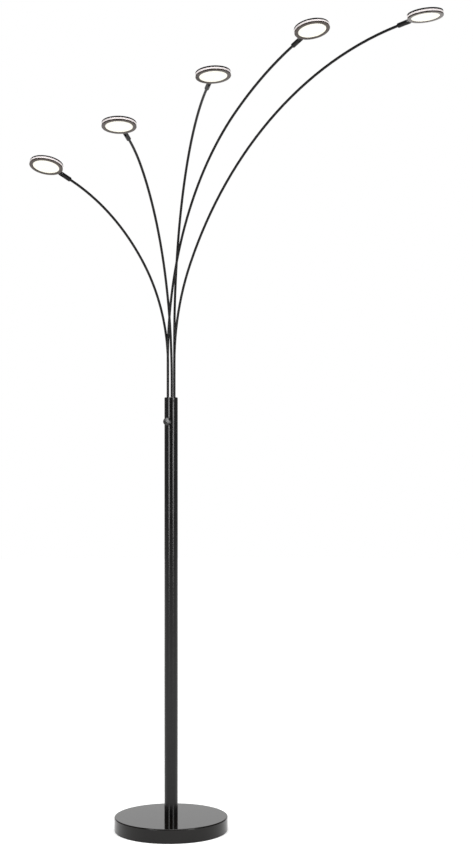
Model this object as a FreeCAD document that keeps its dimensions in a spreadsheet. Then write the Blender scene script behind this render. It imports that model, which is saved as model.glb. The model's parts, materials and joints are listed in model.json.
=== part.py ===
import FreeCAD, Part
import math
import os
import Sketcher

# Tree floor lamp: a round weighted base, a straight pole and five arched arms that
# leave a hub in the pole's top. Each arm carries a flat round LED head on a hinge.
# Millimetres. The origin is on the floor under the pole, +Z is up and the arms fan
# towards -Y. Arm 1 is the lowest and points to -X, arm 5 is the highest (+X).

os.makedirs("parts", exist_ok=True)
V = FreeCAD.Vector
doc = FreeCAD.newDocument("tree_floor_lamp")

SIZES = {
    # base: thin felt pad, stamped cover, cast weight with a hollow below
    "pad_inset": 2,
    "pad_thickness": 2,
    "base_radius": 147.5,
    "base_top": 37,
    "base_edge_round": 3,
    "cover_wall": 1.6,
    "weight_clearance": 2.9,
    "weight_chamfer": 2,
    "recess_radius": 90,
    "groove_width": 20,
    # clamp that ties the pole to the base
    "nipple_radius": 5,
    "nipple_bore": 3.5,
    "nipple_tail": 2,
    "nipple_grip": 20,
    "nipple_clearance": 0.3,
    "thread_clearance": 0.05,
    "washer_radius": 20,
    "washer_thickness": 2,
    "nut_flats": 17,
    "nut_height": 6,
    "insert_height": 25,
    # pole
    "pole_radius": 17.5,
    "pole_wall": 1.5,
    "pole_top": 1120,
    "plug_clearance": 0.05,
    # hub in the pole's top
    "hub_plug": 35,
    "hub_cap": 5,
    "hub_chamfer": 1.4,
    "liner_wall": 0.48,
    "liner_clearance": 0.05,
    "screw_drop": 4.5,
    "screw_azimuth": 289,
    "screw_radius": 1.95,
    "screw_clearance": 0.1,
    "screw_length": 4,
    "screw_inset": 0.15,
    "socket_corner": 1.15,
    "socket_depth": 2,
    # rotary switch, on an axis square to the pole
    "switch_drop": 58,
    "switch_azimuth": 248,
    "switch_half_width": 9,
    "switch_half_height": 10,
    "switch_depth": 17,
    "collar_radius": 7,
    "collar_gap": 1.8,
    "collar_length": 4.2,
    "neck_radius": 4.9,
    "neck_clearance": 0.1,
    "neck_beyond_nut": 1.5,
    "shaft_radius": 3,
    "shaft_clearance": 0.05,
    "shaft_depth": 3.8,
    "switch_nut_flats": 13,
    "switch_nut_height": 2.4,
    "knob_radius": 9.75,
    "knob_gap": 0.6,
    "knob_length": 10.2,
    "knob_crown": 2,
    "knob_face_inset": 1.75,
    "knob_cap": 3.8,
    # outlet for the mains cord
    "outlet_z": 16,
    "outlet_flange": 8.5,
    "outlet_neck": 6,
    "outlet_barb": 7.2,
    "outlet_bore": 3.2,
    "outlet_flange_thickness": 3,
    "outlet_barb_length": 3,
    # power supply and its lead
    "driver_length": 80,
    "driver_width": 38,
    "driver_height": 18,
    "driver_clearance": 2,
    "driver_rear": -30,
    "lead_radius": 2,
    "lead_z": 7,
    "lead_bend": 7,
    "lead_gap": 0.5,
    # arms
    "tube_radius": 3.175,
    "tube_wall": 0.8,
    "tube_bore_clearance": 0.045,
    "tube_tail": 6,
    "flare_height": 1.2,
    "flare_width": 0.825,
    "arm_end": 36,
    # knuckle at the arm's end, measured from the head's hinge axis
    "knuckle_wall": 2.55,
    "knuckle_length": 32,
    "knuckle_lip": 0.35,
    "knuckle_nose_round": 2.75,
    "knuckle_socket": 20,
    "socket_clearance": 0.025,
    "wire_radius": 2,
    "slot_clearance": 0.1,
    "slot_depth": 7,
    "pin_radius": 1.5,
    "pin_inset": 0.3,
    "pin_fit": 0.02,
    "pin_clearance": 0.05,
    # head, measured from the disc's centre
    "head_radius": 41,
    "hinge_gap": 7.5,
    "cover_bottom": 1.5,
    "cover_thickness": 4,
    "cover_edge": 0.9,
    "head_rim": 7,
    "pocket_depth": 2.6,
    "lug_thickness": 4,
    "lug_radius": 4,
    "board_clearance": 1,
    "board_thickness": 1.2,
    "chip_circle": 22,
    "chip_size": 3,
    "chip_height": 0.7,
    "ring_lip": 1,
    "ring_height": 4,
    "diffuser_clearance": 0.2,
    "diffuser_thickness": 1.8,
    "bezel_height": 3,
    "bezel_lip": 1.8,
    "bezel_step": 0.6,
    "bezel_bevel": 1.2,
    "bezel_edge": 0.8,
}

# one line for each arm: where it leaves the hub, its direction, its height above the
# hub before it bends, its two bends, and the clock angle and tilt of its head
ARM_KEYS = ("x", "y", "azimuth", "rise", "radius1", "bend1", "radius2", "bend2", "clock", "tilt")
ARMS = {
    1: (-8.4, 7.2, 225.2, 84, 437, 35.6, 559, 32.1, 7.8, 3.7),
    2: (2.0, -9.35, 256.3, 43, 623, 55.3, 398, 15.9, 3.4, 6.3),
    3: (8.0, 7.8, 281.75, 145, 588, 37.4, 569, 40.1, 1.6, 1.3),
    4: (-8.4, -4.65, 302.5, 102, 688, 58.3, 1113, 13.8, 0.4, 1.0),
    5: (8.6, -3.8, 313.9, 90, 551, 27.3, 917, 55.2, 2.3, 1.0),
}
for arm_number, values in ARMS.items():
    for key, number in zip(ARM_KEYS, values):
        SIZES[f"arm{arm_number}_{key}"] = number

sheet = doc.addObject("Spreadsheet::Sheet", "Dims")
for row, (alias, number) in enumerate(SIZES.items(), 1):
    sheet.set(f"A{row}", alias)
    sheet.set(f"B{row}", str(number))
    sheet.setAlias(f"B{row}", alias)
doc.recompute()


class Size:
    """A number together with the sheet expression that drives it."""

    def __init__(self, value, text):
        self.value = value
        self.text = text

    def __add__(self, other):
        other = as_size(other)
        return Size(self.value + other.value, f"({self.text} + {other.text})")

    def __sub__(self, other):
        other = as_size(other)
        return Size(self.value - other.value, f"({self.text} - {other.text})")

    def __mul__(self, factor):
        return Size(self.value * factor, f"({self.text} * {factor})")

    def __neg__(self):
        return Size(-self.value, f"(-1 * {self.text})")


def as_size(number):
    return number if isinstance(number, Size) else Size(number, str(number))


def size(alias):
    return Size(SIZES[alias], "Dims." + alias)


def bind(item, name, length):
    item.setExpression(name, as_size(length).text)


# ---- sketch and feature helpers ----

def new_body(name):
    body = doc.addObject("PartDesign::Body", name)
    body.Label = name
    return body


def origin_part(body, role):
    return [f for f in body.Origin.OriginFeatures if f.Role == role][0]


def new_sketch(body, plane, offset=None):
    sketch = body.newObject("Sketcher::SketchObject", body.Name + "_sketch")
    sketch.AttachmentSupport = [(origin_part(body, plane), "")]
    sketch.MapMode = "FlatFace"
    if offset is not None:
        bind(sketch, "AttachmentOffset.Base.z", offset)
    return sketch


def constrain(sketch, kind, *items):
    """Adds a constraint whose last item is a size, and binds it to the sheet."""
    length = as_size(items[-1])
    index = sketch.addConstraint(Sketcher.Constraint(kind, *items[:-1], length.value))
    bind(sketch, f"Constraints[{index}]", length)


def place_point(sketch, geometry, end, x, y):
    for kind, length, axis in (("DistanceX", x, -2), ("DistanceY", y, -1)):
        if as_size(length).value == 0:
            sketch.addConstraint(Sketcher.Constraint("PointOnObject", geometry, end, axis))
        else:
            constrain(sketch, kind, -1, 1, geometry, end, length)


def outline(sketch, corners):
    """Closed outline of straight lines through the corners."""
    points = [V(as_size(x).value, as_size(y).value, 0) for x, y in corners]
    first = sketch.GeometryCount
    count = len(points)
    for i in range(count):
        sketch.addGeometry(Part.LineSegment(points[i], points[(i + 1) % count]), False)
    for i, (x, y) in enumerate(corners):
        following = first + (i + 1) % count
        sketch.addConstraint(Sketcher.Constraint("Coincident", first + i, 2, following, 1))
        place_point(sketch, first + i, 1, x, y)


def circle(sketch, radius, x=0, y=0):
    centre = V(as_size(x).value, as_size(y).value, 0)
    shape = Part.Circle(centre, V(0, 0, 1), as_size(radius).value)
    index = sketch.addGeometry(shape, False)
    place_point(sketch, index, 3, x, y)
    constrain(sketch, "Radius", index, radius)


def hexagon(sketch, flats):
    corner = flats * 0.57735
    half = flats * 0.5
    near = flats * 0.288675
    outline(sketch, [(corner, 0), (near, half), (-near, half), (-corner, 0), (-near, -half), (near, -half)])


def rectangle(sketch, x0, x1, y0, y1):
    outline(sketch, [(x0, y0), (x1, y0), (x1, y1), (x0, y1)])


def turn(body, corners, axis="V_Axis"):
    """Revolves an outline of the XZ plane about its vertical or horizontal axis."""
    sketch = new_sketch(body, "XZ_Plane")
    outline(sketch, corners)
    feature = body.newObject("PartDesign::Revolution", body.Name + "_turned")
    feature.Profile = sketch
    feature.ReferenceAxis = (sketch, [axis])
    feature.Angle = 360
    return feature


def extrude(body, kind, sketch, length, side="One side", reverse=False):
    feature = body.newObject("PartDesign::" + kind, body.Name + "_" + kind.lower())
    feature.Profile = sketch
    feature.SideType = side
    feature.Reversed = reverse
    bind(feature, "Length", length)
    return feature


def turned_body(name, corners, axis="V_Axis"):
    body = new_body(name)
    turn(body, corners, axis)
    return body


def ring(name, inner, outer, bottom, top):
    return turned_body(name, [(inner, bottom), (outer, bottom), (outer, top), (inner, top)])


def disc(name, radius, bottom, top):
    return ring(name, 0, radius, bottom, top)


def sweep(body, spine, inner, outer, start):
    """Sweeps a ring, or a disc where inner is None, along the spine."""
    profile = new_sketch(body, *start)
    circle(profile, outer)
    if inner is not None:
        circle(profile, inner)
    pipe = body.newObject("PartDesign::AdditivePipe", body.Name + "_pipe")
    pipe.Profile = profile
    pipe.Spine = (spine, [f"Edge{i + 1}" for i in range(spine.GeometryCount)])
    return pipe


def rod(name, radius, length, placement):
    """Cylinder that starts at the placement and runs along its local Z."""
    tool = doc.addObject("Part::Cylinder", name)
    bind(tool, "Radius", radius)
    bind(tool, "Height", length)
    tool.Placement = placement
    return tool


def drilled(name, base, tools):
    """Cuts the tools out of the base; the result carries the node's name."""
    base.Label = name + "_blank"
    fused = doc.addObject("Part::MultiFuse", name + "_tools")
    fused.Shapes = tools
    result = doc.addObject("Part::Cut", name + "_drilled")
    result.Base = base
    result.Tool = fused
    result.Label = name
    return result


def radial(azimuth, height, start=0.0):
    """Placement on the pole's axis whose local Z points outwards at the azimuth."""
    angle = math.radians(azimuth)
    outward = V(math.cos(angle), math.sin(angle), 0)
    turned = FreeCAD.Rotation(V(0, 0, 1), azimuth) * FreeCAD.Rotation(V(0, 1, 0), 90)
    return FreeCAD.Placement(outward * start + V(0, 0, height), turned)


# ---- base ----

nodes = {}
wall = size("cover_wall")
top = size("base_top")
pad_top = size("pad_thickness")
nipple_hole = size("nipple_radius") + size("nipple_clearance")
outlet_z = size("outlet_z")
recess_top = pad_top + size("driver_clearance") + size("driver_height")

nodes["base_pad"] = disc("base_pad", size("base_radius") - size("pad_inset"), 0, pad_top)

cover = turned_body("base_cover", [
    (nipple_hole, top - wall),
    (size("base_radius") - wall, top - wall),
    (size("base_radius") - wall, pad_top),
    (size("base_radius"), pad_top),
    (size("base_radius"), top),
    (nipple_hole, top),
])
sketch = new_sketch(cover, "XZ_Plane")
circle(sketch, size("outlet_neck") + 0.05, 0, outlet_z)
outlet_hole = extrude(cover, "Pocket", sketch, size("base_radius") + 5)
doc.recompute()
rim = [
    f"Edge{i + 1}" for i, edge in enumerate(cover.Shape.Edges)
    if edge.BoundBox.ZMin > SIZES["base_top"] - 0.01
    and edge.BoundBox.XMax > SIZES["base_radius"] - 0.01
]
rim_round = cover.newObject("PartDesign::Fillet", "rim_round")
rim_round.Base = (outlet_hole, rim)
bind(rim_round, "Radius", size("base_edge_round"))
nodes["base_cover"] = cover

weight_top = top - wall
weight_radius = size("base_radius") - wall - size("weight_clearance")
weight = turned_body("base_weight", [
    (nipple_hole, recess_top),
    (size("recess_radius"), recess_top),
    (size("recess_radius"), pad_top),
    (weight_radius, pad_top),
    (weight_radius, weight_top - size("weight_chamfer")),
    (weight_radius - size("weight_chamfer"), weight_top),
    (nipple_hole, weight_top),
])
sketch = new_sketch(weight, "XY_Plane", pad_top)
half_groove = size("groove_width") * 0.5
rectangle(sketch, -half_groove, half_groove, size("recess_radius") - 5, size("base_radius"))
extrude(weight, "Pocket", sketch, outlet_z + half_groove + 1 - pad_top, reverse=True)
nodes["base_weight"] = weight

washer_bottom = recess_top - size("washer_thickness")
thread_hole = size("nipple_radius") + size("thread_clearance")
nodes["base_washer"] = ring(
    "base_washer", thread_hole, size("washer_radius"), washer_bottom, recess_top)

nut = new_body("base_nut")
sketch = new_sketch(nut, "XY_Plane", washer_bottom - size("nut_height"))
hexagon(sketch, size("nut_flats"))
circle(sketch, thread_hole)
extrude(nut, "Pad", sketch, size("nut_height"))
nodes["base_nut"] = nut

nipple_bottom = washer_bottom - size("nut_height") - size("nipple_tail")
nodes["pole_nipple"] = ring(
    "pole_nipple", size("nipple_bore"), size("nipple_radius"), nipple_bottom, top + size("nipple_grip"))

outlet_flange = size("base_radius") + 0.1
outlet_end = outlet_flange + size("outlet_flange_thickness")
barb_end = size("base_radius") - wall - 0.3
barb_start = barb_end - size("outlet_barb_length")
outlet = turned_body("cord_bushing", [
    (size("outlet_bore"), barb_start),
    (size("outlet_barb") - 1, barb_start),
    (size("outlet_barb"), barb_end - 1),
    (size("outlet_barb"), barb_end),
    (size("outlet_neck"), barb_end),
    (size("outlet_neck"), outlet_flange),
    (size("outlet_flange"), outlet_flange),
    (size("outlet_flange"), outlet_end - 1),
    (size("outlet_flange") - 1, outlet_end),
    (size("outlet_bore"), outlet_end),
])
outlet.Placement = FreeCAD.Placement(V(0, 0, SIZES["outlet_z"]), FreeCAD.Rotation(V(1, 0, 0), -90))
nodes["cord_bushing"] = outlet

driver = new_body("led_driver")
sketch = new_sketch(driver, "XY_Plane", recess_top - size("driver_height"))
half_driver = size("driver_length") * 0.5
driver_rear = size("driver_rear")
rectangle(sketch, -half_driver, half_driver, driver_rear - size("driver_width"), driver_rear)
extrude(driver, "Pad", sketch, size("driver_height"))
nodes["led_driver"] = driver

# ---- lead from the power supply up the pole to the switch ----

switch_z = size("pole_top") - size("switch_drop")
lead_top = switch_z - size("switch_half_height") - size("lead_gap")
lead = new_body("supply_lead")
spine = new_sketch(lead, "YZ_Plane")
bend = SIZES["lead_bend"]
lead_z = SIZES["lead_z"]
bend_centre = V(-bend, lead_z + bend, 0)
spine.addGeometry(Part.LineSegment(V(SIZES["driver_rear"], lead_z, 0), V(-bend, lead_z, 0)), False)
spine.addGeometry(
    Part.ArcOfCircle(Part.Circle(bend_centre, V(0, 0, 1), bend), 1.5 * math.pi, 2 * math.pi), False)
spine.addGeometry(Part.LineSegment(V(0, lead_z + bend, 0), V(0, lead_top.value, 0)), False)
spine.addConstraint(Sketcher.Constraint("Tangent", 0, 2, 1, 1))
spine.addConstraint(Sketcher.Constraint("Tangent", 1, 2, 2, 1))
spine.addConstraint(Sketcher.Constraint("Horizontal", 0))
place_point(spine, 0, 1, driver_rear, size("lead_z"))
place_point(spine, 2, 2, 0, lead_top)
constrain(spine, "Radius", 1, size("lead_bend"))
profile = new_sketch(lead, "XZ_Plane", -driver_rear)
circle(profile, size("lead_radius"), 0, size("lead_z"))
pipe = lead.newObject("PartDesign::AdditivePipe", "supply_lead_pipe")
pipe.Profile = profile
pipe.Spine = (spine, ["Edge1", "Edge2", "Edge3"])
nodes["supply_lead"] = lead

# ---- pole and hub ----

pole_outer = size("pole_radius")
pole_inner = pole_outer - size("pole_wall")
pole_top = size("pole_top")
plug_radius = pole_inner - size("plug_clearance")
screw_z = pole_top - size("screw_drop")
screw_places = [radial(SIZES["screw_azimuth"] + turned, screw_z.value) for turned in (0, 180)]

nodes["pole_foot_insert"] = ring(
    "pole_foot_insert", thread_hole, plug_radius, top, top + size("insert_height"))

pole = ring("pole_tube_blank", pole_inner, pole_outer, top, pole_top)
switch_place = radial(SIZES["switch_azimuth"], switch_z.value)
neck_hole = size("neck_radius") + size("neck_clearance")
screw_hole = size("screw_radius") + size("screw_clearance")
pole_tools = [rod("pole_switch_hole", neck_hole, pole_outer + 5, switch_place)]
for place in screw_places:
    pole_tools.append(rod("pole_screw_hole", screw_hole, pole_outer + 5, place))
nodes["pole_tube"] = drilled("pole_tube", pole, pole_tools)

hub_bottom = pole_top - size("hub_plug")
hub_top = pole_top + size("hub_cap")
hub = turned_body("arm_hub_blank", [
    (0, hub_bottom),
    (plug_radius, hub_bottom),
    (plug_radius, pole_top),
    (pole_outer, pole_top),
    (pole_outer, hub_top - size("hub_chamfer")),
    (pole_outer - size("hub_chamfer"), hub_top),
    (0, hub_top),
])
hub_tools = []
screw_face = pole_outer - size("screw_inset")
screw_start = screw_face - size("screw_length")
for place in screw_places:
    start = place.multVec(V(0, 0, screw_start.value - 0.5))
    hub_tools.append(rod("hub_screw_hole", screw_hole, 15, FreeCAD.Placement(start, place.Rotation)))
liner_bore = size("tube_radius") + size("tube_bore_clearance")
liner_radius = liner_bore + size("liner_wall")
for arm_number in ARMS:
    bore = rod("hub_bore", liner_radius + size("liner_clearance"), 60, FreeCAD.Placement())
    bind(bore, "Placement.Base.x", size(f"arm{arm_number}_x"))
    bind(bore, "Placement.Base.y", size(f"arm{arm_number}_y"))
    bind(bore, "Placement.Base.z", hub_bottom - 10)
    hub_tools.append(bore)
nodes["arm_hub"] = drilled("arm_hub", hub, hub_tools)

screws = []
for place in screw_places:
    start = place.multVec(V(0, 0, screw_start.value))
    socket_start = place.multVec(V(0, 0, screw_face.value - SIZES["socket_depth"]))
    socket = doc.addObject("Part::Prism", "screw_socket")
    socket.Polygon = 6
    bind(socket, "Circumradius", size("socket_corner"))
    bind(socket, "Height", size("socket_depth") + 1)
    socket.Placement = FreeCAD.Placement(socket_start, place.Rotation)
    shank = rod("screw_shank", size("screw_radius"), size("screw_length"),
                FreeCAD.Placement(start, place.Rotation))
    screw = doc.addObject("Part::Cut", "grub_screw")
    screw.Base = shank
    screw.Tool = socket
    screws.append(screw)
screw_group = doc.addObject("Part::Compound", "hub_set_screws")
screw_group.Links = screws
nodes["hub_set_screws"] = screw_group

# five plain liners, one in each bore of the hub, that the arms turn in
liners = new_body("arm_bushings")
sketch = new_sketch(liners, "XY_Plane", hub_bottom)
for arm_number in ARMS:
    x = size(f"arm{arm_number}_x")
    y = size(f"arm{arm_number}_y")
    circle(sketch, liner_radius, x, y)
    circle(sketch, liner_bore, x, y)
extrude(liners, "Pad", sketch, hub_top - hub_bottom)
nodes["arm_bushings"] = liners

# ---- rotary switch, modelled along its shaft ----

collar_end = pole_inner - size("collar_gap")
switch_front = collar_end - size("collar_length")
switch_nut_start = pole_outer + 0.1
switch_nut_end = switch_nut_start + size("switch_nut_height")
neck_end = switch_nut_end + size("neck_beyond_nut")
knob_start = switch_nut_end + size("knob_gap")
knob_end = knob_start + size("knob_length")
shaft_start = switch_front - size("shaft_depth")
shaft_end = knob_end - size("knob_cap")
shaft_bore = size("shaft_radius") + size("shaft_clearance")
switch = new_body("switch_body")
sketch = new_sketch(switch, "XY_Plane", switch_front - size("switch_depth"))
rectangle(
    sketch, -size("switch_half_height"), size("switch_half_height"),
    -size("switch_half_width"), size("switch_half_width"))
extrude(switch, "Pad", sketch, size("switch_depth"))
turn(switch, [
    (0, switch_front - 1),
    (size("collar_radius"), switch_front - 1),
    (size("collar_radius"), collar_end),
    (size("neck_radius"), collar_end),
    (size("neck_radius"), neck_end),
    (0, neck_end),
])
sketch = new_sketch(switch, "XY_Plane", shaft_start - 0.2)
circle(sketch, shaft_bore)
extrude(switch, "Pocket", sketch, neck_end, reverse=True)
nodes["switch_body"] = switch

switch_nut = new_body("switch_nut")
sketch = new_sketch(switch_nut, "XY_Plane", switch_nut_start)
hexagon(sketch, size("switch_nut_flats"))
circle(sketch, size("neck_radius") + size("thread_clearance"))
extrude(switch_nut, "Pad", sketch, size("switch_nut_height"))
nodes["switch_nut"] = switch_nut

nodes["switch_shaft"] = disc("switch_shaft", size("shaft_radius"), shaft_start, shaft_end)
nodes["switch_knob"] = turned_body("switch_knob", [
    (size("neck_radius") + 0.5, knob_start),
    (size("knob_radius"), knob_start),
    (size("knob_radius"), knob_end - size("knob_crown")),
    (size("knob_radius") - size("knob_face_inset"), knob_end - size("knob_crown") * 0.2),
    (0, knob_end),
    (0, shaft_end),
    (shaft_bore, shaft_end),
    (shaft_bore, neck_end + 0.6),
    (size("neck_radius") + 0.5, neck_end + 0.6),
])
for name in ("switch_body", "switch_nut", "switch_shaft", "switch_knob"):
    nodes[name].Placement = switch_place


# ---- arms ----

tube_tail = size("hub_plug") + size("hub_cap") + size("tube_tail")


def arm_spine(sketch, arm):
    """Straight tail, two tangent bends and a straight end, from the hub outwards."""
    rise = arm["rise"].value
    first = math.radians(arm["bend1"].value)
    both = first + math.radians(arm["bend2"].value)
    radius1 = arm["radius1"].value
    radius2 = arm["radius2"].value
    corner = V(0, rise, 0)
    centre1 = corner + V(radius1, 0, 0)
    joint1 = centre1 + V(-math.cos(first), math.sin(first), 0) * radius1
    centre2 = joint1 + V(math.cos(first), -math.sin(first), 0) * radius2
    joint2 = centre2 + V(-math.cos(both), math.sin(both), 0) * radius2
    heading = V(math.sin(both), math.cos(both), 0)
    straight = arm["straight"]
    arc1 = Part.ArcOfCircle(Part.Circle(centre1, V(0, 0, 1), radius1), math.pi - first, math.pi)
    arc2 = Part.ArcOfCircle(Part.Circle(centre2, V(0, 0, 1), radius2), math.pi - both, math.pi - first)
    sketch.addGeometry(Part.LineSegment(V(0, -tube_tail.value, 0), corner), False)
    sketch.addGeometry(arc1, False)
    sketch.addGeometry(arc2, False)
    sketch.addGeometry(Part.LineSegment(joint2, joint2 + heading * straight.value), False)
    sketch.addConstraint(Sketcher.Constraint("Tangent", 0, 2, 1, 2))
    sketch.addConstraint(Sketcher.Constraint("Tangent", 1, 1, 2, 2))
    sketch.addConstraint(Sketcher.Constraint("Tangent", 2, 1, 3, 1))
    place_point(sketch, 0, 1, 0, -tube_tail)
    place_point(sketch, 0, 2, 0, arm["rise"])
    constrain(sketch, "Radius", 1, arm["radius1"])
    constrain(sketch, "Radius", 2, arm["radius2"])
    for arc, angle in ((1, "bend1"), (2, "bend2")):
        index = sketch.addConstraint(
            Sketcher.Constraint("Angle", arc, math.radians(arm[angle].value)))
        sketch.setExpression(f"Constraints[{index}]", arm[angle].text + " * 1 deg")
    constrain(sketch, "Distance", 3, straight)
    return joint2 + heading * SIZES["arm_end"], math.degrees(both)


pocket_radius = size("head_radius") - size("head_rim")
pocket_top = size("cover_bottom") + size("pocket_depth")
ring_bottom = size("cover_bottom") - size("ring_height")
hinge_distance = size("head_radius") + size("hinge_gap")
socket_radius = size("tube_radius") + size("socket_clearance")
knuckle_radius = socket_radius + size("knuckle_wall")


def make_knuckle(name):
    """Sleeve on the arm's end with a fork for the head's lug, along local X."""
    radius = knuckle_radius
    shoulder = size("knuckle_wall") - size("knuckle_lip")
    rear = -size("knuckle_length")
    nose = radius
    socket_end = rear + size("knuckle_socket")
    socket = socket_radius
    body = turned_body(name, [
        (rear, socket),
        (rear, radius - shoulder),
        (rear + shoulder * 0.3, radius - shoulder * 0.3),
        (rear + shoulder, radius),
        (nose - size("knuckle_nose_round"), radius),
        (nose - size("knuckle_nose_round") * 0.3, radius - size("knuckle_nose_round") * 0.3),
        (nose, radius - size("knuckle_nose_round")),
        (nose, size("wire_radius")),
        (socket_end, size("wire_radius")),
        (socket_end, socket),
    ], "H_Axis")
    slot = new_sketch(body, "XZ_Plane")
    rectangle(slot, -size("slot_depth"), nose + 2, -radius - 1, radius + 1)
    extrude(body, "Pocket", slot, size("lug_thickness") + size("slot_clearance") * 2, "Symmetric")
    hole = new_sketch(body, "XZ_Plane")
    circle(hole, size("pin_radius") + size("pin_fit"))
    extrude(body, "Pocket", hole, radius * 3, "Symmetric")
    return body


def make_pin(name):
    body = new_body(name)
    sketch = new_sketch(body, "XZ_Plane")
    circle(sketch, size("pin_radius"))
    extrude(body, "Pad", sketch, (knuckle_radius - size("pin_inset")) * 2, "Symmetric")
    return body


def make_head_cover(name):
    """Upper disc with the lug that hangs in the knuckle's fork."""
    radius = size("head_radius")
    low = size("cover_bottom")
    high = low + size("cover_thickness")
    eye = -hinge_distance
    lug = size("lug_radius")
    body = turned_body(name, [
        (0, pocket_top),
        (pocket_radius, pocket_top),
        (pocket_radius, low),
        (radius, low),
        (radius, high - size("cover_edge")),
        (radius - size("cover_edge") * 0.3, high - size("cover_edge") * 0.3),
        (radius - size("cover_edge"), high),
        (0, high),
    ])
    tongue = new_sketch(body, "XZ_Plane")
    outline(tongue, [
        (eye, lug),
        (eye + 3.5, high - 0.4),
        (-radius + 3, high - 0.4),
        (-radius + 3, low),
        (-radius - 0.6, low),
        (-radius - 0.6, -lug * 0.5),
        (eye + 3.5, -lug + 0.4),
        (eye, -lug),
    ])
    extrude(body, "Pad", tongue, size("lug_thickness"), "Symmetric")
    knob = new_sketch(body, "XZ_Plane")
    circle(knob, lug, eye, 0)
    extrude(body, "Pad", knob, size("lug_thickness"), "Symmetric")
    hole = new_sketch(body, "XZ_Plane")
    circle(hole, size("pin_radius") + size("pin_clearance"), eye, 0)
    extrude(body, "Pocket", hole, size("lug_thickness") * 2, "Symmetric")
    return body


def make_board(name):
    """Round circuit board with twelve light-emitting chips below it."""
    top_face = pocket_top
    bottom_face = top_face - size("board_thickness")
    body = disc(name, pocket_radius - size("board_clearance"), bottom_face, top_face)
    sketch = new_sketch(body, "XY_Plane", bottom_face)
    half = size("chip_size") * 0.5
    reach = size("chip_circle")
    rectangle(sketch, reach - half, reach + half, -half, half)
    chip = extrude(body, "Pad", sketch, size("chip_height"), reverse=True)
    pattern = body.newObject("PartDesign::PolarPattern", body.Name + "_chips")
    pattern.Originals = [chip]
    pattern.Axis = (origin_part(body, "Z_Axis"), [""])
    pattern.Angle = 360
    pattern.Occurrences = 12
    body.Tip = pattern
    return body


def make_bezel(name):
    seat = ring_bottom
    low = seat - size("bezel_height")
    glass = seat - size("diffuser_thickness")
    radius = size("head_radius")
    opening = pocket_radius - size("bezel_lip")
    return turned_body(name, [
        (opening, glass),
        (opening, low + size("bezel_step")),
        (opening + size("bezel_bevel"), low),
        (radius - size("bezel_edge"), low),
        (radius, low + size("bezel_edge")),
        (radius, seat),
        (pocket_radius, seat),
        (pocket_radius, glass),
    ])


def make_tube(name, arm):
    body = new_body(name)
    spine = new_sketch(body, "XZ_Plane")
    hinge, slope = arm_spine(spine, arm)
    tail = -tube_tail
    flare = size("tube_radius") + size("flare_width")
    inner = size("tube_radius") - size("tube_wall")
    sweep(body, spine, inner, size("tube_radius"), ("XY_Plane", tail))
    turn(body, [
        (inner, tail),
        (flare, tail),
        (flare, tail + size("flare_height")),
        (inner, tail + size("flare_height")),
    ])
    return body, hinge, slope


# the straight end of the tube stops at the bottom of the knuckle's socket
straight_end = size("arm_end") - size("knuckle_length") + size("knuckle_socket")
for k in ARMS:
    arm = {key: size(f"arm{k}_{key}") for key in ARM_KEYS}
    arm["straight"] = straight_end
    tube, hinge, slope = make_tube(f"arm_tube_{k}", arm)
    root = FreeCAD.Placement(
        V(arm["x"].value, arm["y"].value, hub_top.value),
        FreeCAD.Rotation(V(0, 0, 1), arm["azimuth"].value))
    tube.Placement = root
    to_hinge = FreeCAD.Placement(
        V(hinge.x, 0, hinge.y),
        FreeCAD.Rotation(V(0, 1, 0), slope - 90) * FreeCAD.Rotation(V(1, 0, 0), arm["clock"].value))
    hinge_place = root * to_hinge
    tilt = FreeCAD.Placement(V(0, 0, 0), FreeCAD.Rotation(V(0, 1, 0), arm["tilt"].value))
    centre = FreeCAD.Placement(V(hinge_distance.value, 0, 0), FreeCAD.Rotation())
    head_place = hinge_place * tilt * centre
    nodes[f"arm_tube_{k}"] = tube
    nodes[f"knuckle_{k}"] = make_knuckle(f"knuckle_{k}")
    nodes[f"knuckle_pin_{k}"] = make_pin(f"knuckle_pin_{k}")
    nodes[f"head_cover_{k}"] = make_head_cover(f"head_cover_{k}")
    nodes[f"led_board_{k}"] = make_board(f"led_board_{k}")
    nodes[f"light_ring_{k}"] = ring(
        f"light_ring_{k}", pocket_radius - size("ring_lip"), size("head_radius"), ring_bottom,
        size("cover_bottom"))
    nodes[f"diffuser_{k}"] = disc(
        f"diffuser_{k}", pocket_radius - size("diffuser_clearance"),
        ring_bottom - size("diffuser_thickness"), ring_bottom)
    nodes[f"bezel_{k}"] = make_bezel(f"bezel_{k}")
    for name in ("knuckle", "knuckle_pin"):
        nodes[f"{name}_{k}"].Placement = hinge_place
    for name in ("head_cover", "led_board", "light_ring", "diffuser", "bezel"):
        nodes[f"{name}_{k}"].Placement = head_place
    axis = hinge_place.Rotation.multVec(V(0, 1, 0))
    point = hinge_place.Base
    print(f"hinge {k}: point {point.x:.3f} {point.y:.3f} {point.z:.3f}"
          f" axis {axis.x:.5f} {axis.y:.5f} {axis.z:.5f}")

# ---- check and export ----

doc.recompute()
for item in doc.Objects:
    if "Invalid" in item.State or "Error" in item.State:
        raise RuntimeError(f"{item.Name} failed: {item.State}")
for name, item in nodes.items():
    item.Label = name
    shape = item.Shape
    if shape.isNull() or not shape.isValid() or not shape.Solids:
        raise RuntimeError(f"{name} has no valid solid")
    print(f"{name}: {len(shape.Solids)} solid(s), {shape.Volume / 1000:.2f} cm3")
    shape.exportStep(f"parts/{name}.step")
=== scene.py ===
import json
import math

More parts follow.
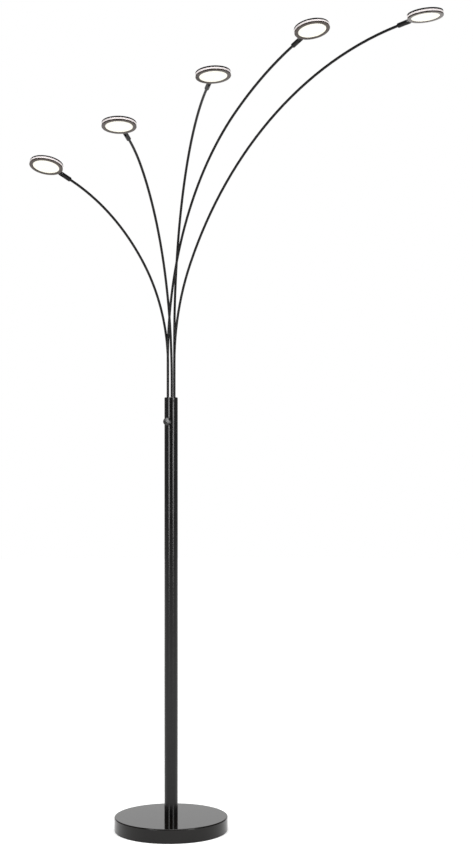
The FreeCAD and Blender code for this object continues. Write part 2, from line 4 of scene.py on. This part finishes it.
import bpy
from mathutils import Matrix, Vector

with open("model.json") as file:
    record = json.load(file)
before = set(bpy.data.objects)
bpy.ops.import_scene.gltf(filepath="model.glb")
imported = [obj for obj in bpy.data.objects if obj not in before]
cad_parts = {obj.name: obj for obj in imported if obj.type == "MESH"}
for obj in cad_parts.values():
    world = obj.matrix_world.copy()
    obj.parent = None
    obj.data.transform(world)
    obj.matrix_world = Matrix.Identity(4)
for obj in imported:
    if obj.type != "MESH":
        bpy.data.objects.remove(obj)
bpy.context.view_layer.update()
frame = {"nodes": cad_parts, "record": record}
NODES = frame["nodes"]
scene = bpy.context.scene
scene.view_settings.view_transform = "Standard"

WHITE = (1, 1, 1, 1)

# The camera stands level, in front of the pole and a little to its right, in metres.
CAMERA_PLACE = (0.170, -4.300, 1.044)
CAMERA_TURN = (math.radians(90), 0, 0)
LENS_MM = 69.47
SENSOR_MM = 36.0

# What the room gives to a matt surface, where white is 1.
ROOM_LIGHT = 0.42
# In gloss the white backdrop stands behind the lamp and the rest of the studio is dim.
# A direction's Y tells the backdrop from the room, and its X the room's sides.
BACKDROP_Y = (0.72, 0.92)
SIDES_X = (0.35, 0.95)
DIM_MIDDLE, DIM_SIDES = 0.03, 0.3

# The floor's own glow rises from under the lamp to the horizon, where it meets white.
FLOOR_RADIUS = 9.0
GLOW_REACH = (0.8, 6.5)
GLOW_STRENGTH = (0.4, 0.75)

# name: (place, aim, width, height, watts)
SOFTBOXES = {
    "softbox_left": ((-2.15, -2.9, 1.35), (0, 0, 1.2), 0.8, 2.0, 62),
    "softbox_right": ((2.55, -2.55, 1.35), (0, 0, 1.2), 0.8, 2.0, 62),
    "softbox_top": ((0.0, -0.6, 4.2), (0, 0, 0), 3.0, 3.0, 110),
}


# ---- materials ----

class Shader:
    """A new material with its node tree and its Principled shader."""

    def __init__(self, name):
        self.material = bpy.data.materials.new(name)
        self.material.use_nodes = True
        self.tree = self.material.node_tree
        self.bsdf = self.tree.nodes["Principled BSDF"]
        self.coords = self.add("ShaderNodeTexCoord")

    def add(self, kind, **values):
        """A new node with these settings."""
        node = self.tree.nodes.new(kind)
        for key, value in values.items():
            setattr(node, key, value)
        return node

    def link(self, source, target):
        self.tree.links.new(source, target)

    def set(self, **values):
        """Constants on the Principled shader's own sockets."""
        for key, value in values.items():
            self.bsdf.inputs[key.replace("_", " ")].default_value = value

    def noise(self, scale, detail=3.0, stretch=None):
        """Noise in the object's own metres, drawn out along an axis where stretch is given."""
        node = self.add("ShaderNodeTexNoise")
        node.inputs["Scale"].default_value = scale
        node.inputs["Detail"].default_value = detail
        place = self.coords.outputs["Object"]
        if stretch is not None:
            mapping = self.add("ShaderNodeMapping")
            mapping.inputs["Scale"].default_value = stretch
            self.link(place, mapping.inputs["Vector"])
            place = mapping.outputs["Vector"]
        self.link(place, node.inputs["Vector"])
        return node.outputs["Fac"]

    def ramp(self, source, start, end, dark, light):
        """From dark to light while the source goes from start to end."""
        node = self.add("ShaderNodeValToRGB")
        for stop, place, colour in zip(node.color_ramp.elements, (start, end), (dark, light)):
            stop.position = place
            stop.color = (*colour, 1.0)
        self.link(source, node.inputs["Fac"])
        return node.outputs["Color"]

    def colour(self, source, dark, light):
        self.link(self.ramp(source, 0.35, 0.65, dark, light), self.bsdf.inputs["Base Color"])

    def rough(self, source, low, high):
        """Roughness from low to high over the middle of the noise's range."""
        node = self.add("ShaderNodeMapRange")
        node.inputs["From Min"].default_value = 0.3
        node.inputs["From Max"].default_value = 0.7
        node.inputs["To Min"].default_value = low
        node.inputs["To Max"].default_value = high
        self.link(source, node.inputs["Value"])
        self.link(node.outputs["Result"], self.bsdf.inputs["Roughness"])

    def bump(self, source, depth, strength):
        node = self.add("ShaderNodeBump")
        node.inputs["Strength"].default_value = strength
        node.inputs["Distance"].default_value = depth
        self.link(source, node.inputs["Height"])
        self.link(node.outputs["Normal"], self.bsdf.inputs["Normal"])


def paint(name, dark, light, rough, specular=0.3, metallic=0.0, orange_peel=0.000003):
    """Sprayed paint: slightly uneven colour and gloss, with a fine orange peel."""
    s = Shader(name)
    s.set(Metallic=metallic, Specular_IOR_Level=specular)
    s.colour(s.noise(14.0), dark, light)
    s.rough(s.noise(38.0, detail=5.0), *rough)
    s.bump(s.noise(500.0, detail=2.0), depth=orange_peel, strength=0.2)
    return s.material


def metal(name, dark, light, rough):
    """Bare metal, with the fine marks of its turning or drawing."""
    drawn_out = (1.0, 1.0, 30.0)
    s = Shader(name)
    s.set(Metallic=1.0)
    s.colour(s.noise(60.0), dark, light)
    s.rough(s.noise(400.0, detail=2.0, stretch=drawn_out), *rough)
    s.bump(s.noise(700.0, detail=2.0, stretch=drawn_out), depth=0.00002, strength=0.4)
    return s.material


def plastic(name, dark, light, rough):
    """Moulded plastic with a fine grain."""
    s = Shader(name)
    s.colour(s.noise(40.0), dark, light)
    s.rough(s.noise(120.0), *rough)
    s.bump(s.noise(1400.0, detail=2.0), depth=0.00003, strength=0.3)
    return s.material


def felt(name, dark, light, rough):
    """Pressed felt: matt and fuzzy."""
    s = Shader(name)
    s.set(Sheen_Weight=0.4)
    s.colour(s.noise(500.0, detail=6.0), dark, light)
    s.rough(s.noise(200.0), *rough)
    s.bump(s.noise(900.0, detail=8.0), depth=0.0004, strength=0.9)
    return s.material


def casting(name, dark, light, rough):
    """Rough cast iron."""
    s = Shader(name)
    s.set(Metallic=0.6)
    s.colour(s.noise(90.0, detail=6.0), dark, light)
    s.rough(s.noise(150.0, detail=5.0), *rough)
    s.bump(s.noise(260.0, detail=8.0), depth=0.0005, strength=0.8)
    return s.material


def lit(name, dark, light, rough, glow, strength):
    """Pale plastic that glows, a little unevenly, with the light behind it."""
    s = Shader(name)
    s.colour(s.noise(30.0), dark, light)
    s.rough(s.noise(90.0), *rough)
    s.bump(s.noise(1600.0, detail=2.0), depth=0.00002, strength=0.3)
    dimmer = [c * 0.97 for c in glow]
    s.link(s.ramp(s.noise(22.0, detail=2.0), 0.3, 0.7, dimmer, glow),
           s.bsdf.inputs["Emission Color"])
    s.set(Emission_Strength=strength)
    return s.material


MATERIALS = {
    "black_paint": paint(
        "pole_paint", (0.0025, 0.0024, 0.0024), (0.004, 0.0038, 0.0038), rough=(0.17, 0.22)),
    "arm_paint": paint(
        "arm_paint", (0.002, 0.0019, 0.0019), (0.0035, 0.0033, 0.0033), rough=(0.2, 0.25),
        specular=0.16, orange_peel=0.000001),
    "black_gloss": paint(
        "head_paint", (0.002, 0.0019, 0.0019), (0.0035, 0.0033, 0.0032), rough=(0.09, 0.13),
        specular=0.2),
    "bezel_bronze": paint(
        "bezel_bronze", (0.05, 0.039, 0.032), (0.075, 0.06, 0.051), rough=(0.07, 0.12),
        metallic=0.9),
    "base_enamel": paint(
        "base_enamel", (0.0022, 0.0018, 0.0014), (0.0036, 0.003, 0.0024), rough=(0.08, 0.12),
        specular=0.28),
    "zinc_steel": metal(
        "zinc_steel", (0.5, 0.5, 0.51), (0.62, 0.62, 0.63), rough=(0.25, 0.4)),
    "black_steel": metal(
        "blackened_steel", (0.01, 0.01, 0.01), (0.025, 0.024, 0.023), rough=(0.25, 0.4)),
    "black_plastic": plastic(
        "black_plastic", (0.006, 0.006, 0.006), (0.012, 0.012, 0.012), rough=(0.15, 0.25)),
    "nylon": plastic("nylon", (0.02, 0.02, 0.02), (0.03, 0.03, 0.03), rough=(0.35, 0.45)),
    "lead_jacket": plastic(
        "lead_jacket", (0.012, 0.012, 0.012), (0.02, 0.02, 0.02), rough=(0.5, 0.6)),
    "board_white": plastic(
        "board_white", (0.78, 0.78, 0.76), (0.86, 0.86, 0.84), rough=(0.3, 0.4)),
    "ring_acrylic": lit(
        "ring_acrylic", (0.56, 0.52, 0.515), (0.62, 0.575, 0.57), rough=(0.2, 0.3),
        glow=(1.0, 0.93, 0.92), strength=0.1),
    "diffuser_white": lit(
        "diffuser_white", (0.44, 0.43, 0.38), (0.48, 0.47, 0.42), rough=(0.4, 0.5),
        glow=(1.0, 0.975, 0.855), strength=0.56),
    "felt": felt("felt", (0.008, 0.008, 0.008), (0.03, 0.03, 0.03), rough=(0.9, 1.0)),
    "cast_iron": casting(
        "cast_iron", (0.02, 0.02, 0.02), (0.06, 0.058, 0.055), rough=(0.6, 0.85)),
}
for part in frame["record"]["subparts"]:
    # The thin arms have the pole's paint, with less shine than the pole.
    on_arm = part["node"].startswith("arm_tube")
    piece = NODES[part["node"]]
    piece.data.materials.clear()
    piece.data.materials.append(MATERIALS["arm_paint" if on_arm else part["material_slot"]])


# ---- camera ----

camera_data = bpy.data.cameras.new("camera")
camera = bpy.data.objects.new("camera", camera_data)
scene.collection.objects.link(camera)
camera_data.lens = LENS_MM
camera_data.sensor_width = SENSOR_MM
camera.location = CAMERA_PLACE
camera.rotation_euler = CAMERA_TURN
scene.camera = camera


# ---- room and floor ----

def feed(tree, value, socket):
    """Link a socket, or set a number."""
    if isinstance(value, (int, float)):
        socket.default_value = value
    else:
        tree.links.new(value, socket)


def maths(tree, operation, *values):
    """A Math node on sockets or numbers; returns its result."""
    node = tree.nodes.new("ShaderNodeMath")
    node.operation = operation
    for value, socket in zip(values, node.inputs):
        feed(tree, value, socket)
    return node.outputs[0]


def between(tree, source, span, low, high):
    """A soft step from low to high while the source goes from the span's start to its end."""
    node = tree.nodes.new("ShaderNodeMapRange")
    node.interpolation_type = "SMOOTHSTEP"
    for key, value in (("From Min", span[0]), ("From Max", span[1]),
                       ("To Min", low), ("To Max", high), ("Value", source)):
        feed(tree, value, node.inputs[key])
    return node.outputs["Result"]


world = bpy.data.worlds.new("studio")
scene.world = world
world.use_nodes = True
tree = world.node_tree
background = tree.nodes["Background"]
background.inputs["Color"].default_value = WHITE
axes = tree.nodes.new("ShaderNodeSeparateXYZ")
tree.links.new(tree.nodes.new("ShaderNodeTexCoord").outputs["Generated"], axes.inputs[0])
sides = between(tree, maths(tree, "ABSOLUTE", axes.outputs["X"]), SIDES_X, DIM_MIDDLE, DIM_SIDES)
studio = between(tree, axes.outputs["Y"], BACKDROP_Y, sides, 1.0)
path = tree.nodes.new("ShaderNodeLightPath")
gloss = maths(tree, "MULTIPLY", path.outputs["Is Glossy Ray"],
              maths(tree, "SUBTRACT", studio, ROOM_LIGHT))
plain = maths(tree, "MAXIMUM", path.outputs["Is Camera Ray"], path.outputs["Is Transmission Ray"])
level = maths(tree, "ADD", gloss,
              maths(tree, "MULTIPLY_ADD", plain, 1.0 - ROOM_LIGHT, ROOM_LIGHT))
tree.links.new(level, background.inputs["Strength"])

bpy.ops.mesh.primitive_circle_add(vertices=64, radius=FLOOR_RADIUS, fill_type="NGON",
                                  location=(0, 0, 0))
floor = bpy.context.object
floor.name = "floor"
paper = Shader("floor_paper")
paper.set(Roughness=0.9, Specular_IOR_Level=0.0)
paper.colour(paper.noise(3.0), (0.80, 0.80, 0.80), (0.82, 0.82, 0.82))
glow = paper.add("ShaderNodeEmission")
glow.inputs["Color"].default_value = WHITE
reach = paper.add("ShaderNodeVectorMath", operation="LENGTH")
paper.link(paper.coords.outputs["Object"], reach.inputs[0])
lift = between(paper.tree, reach.outputs["Value"], GLOW_REACH, *GLOW_STRENGTH)
# Only rays from the camera, in gloss and through glass see the glow.
path = paper.add("ShaderNodeLightPath")
seen = maths(paper.tree, "MAXIMUM", path.outputs["Is Camera Ray"], path.outputs["Is Glossy Ray"])
seen = maths(paper.tree, "MAXIMUM", seen, path.outputs["Is Transmission Ray"])
paper.link(maths(paper.tree, "MULTIPLY", lift, seen), glow.inputs["Strength"])
mixed = paper.add("ShaderNodeAddShader")
paper.link(paper.bsdf.outputs[0], mixed.inputs[0])
paper.link(glow.outputs[0], mixed.inputs[1])
paper.link(mixed.outputs[0], paper.tree.nodes["Material Output"].inputs["Surface"])
floor.data.materials.append(paper.material)


# ---- lights ----

for name, (place, aim, width, height, watts) in SOFTBOXES.items():
    light = bpy.data.lights.new(name, "AREA")
    light.shape = "RECTANGLE"
    light.size = width
    light.size_y = height
    light.energy = watts
    softbox = bpy.data.objects.new(name, light)
    softbox.location = place
    softbox.rotation_euler = (Vector(aim) - Vector(place)).to_track_quat("-Z", "Z").to_euler()
    scene.collection.objects.link(softbox)
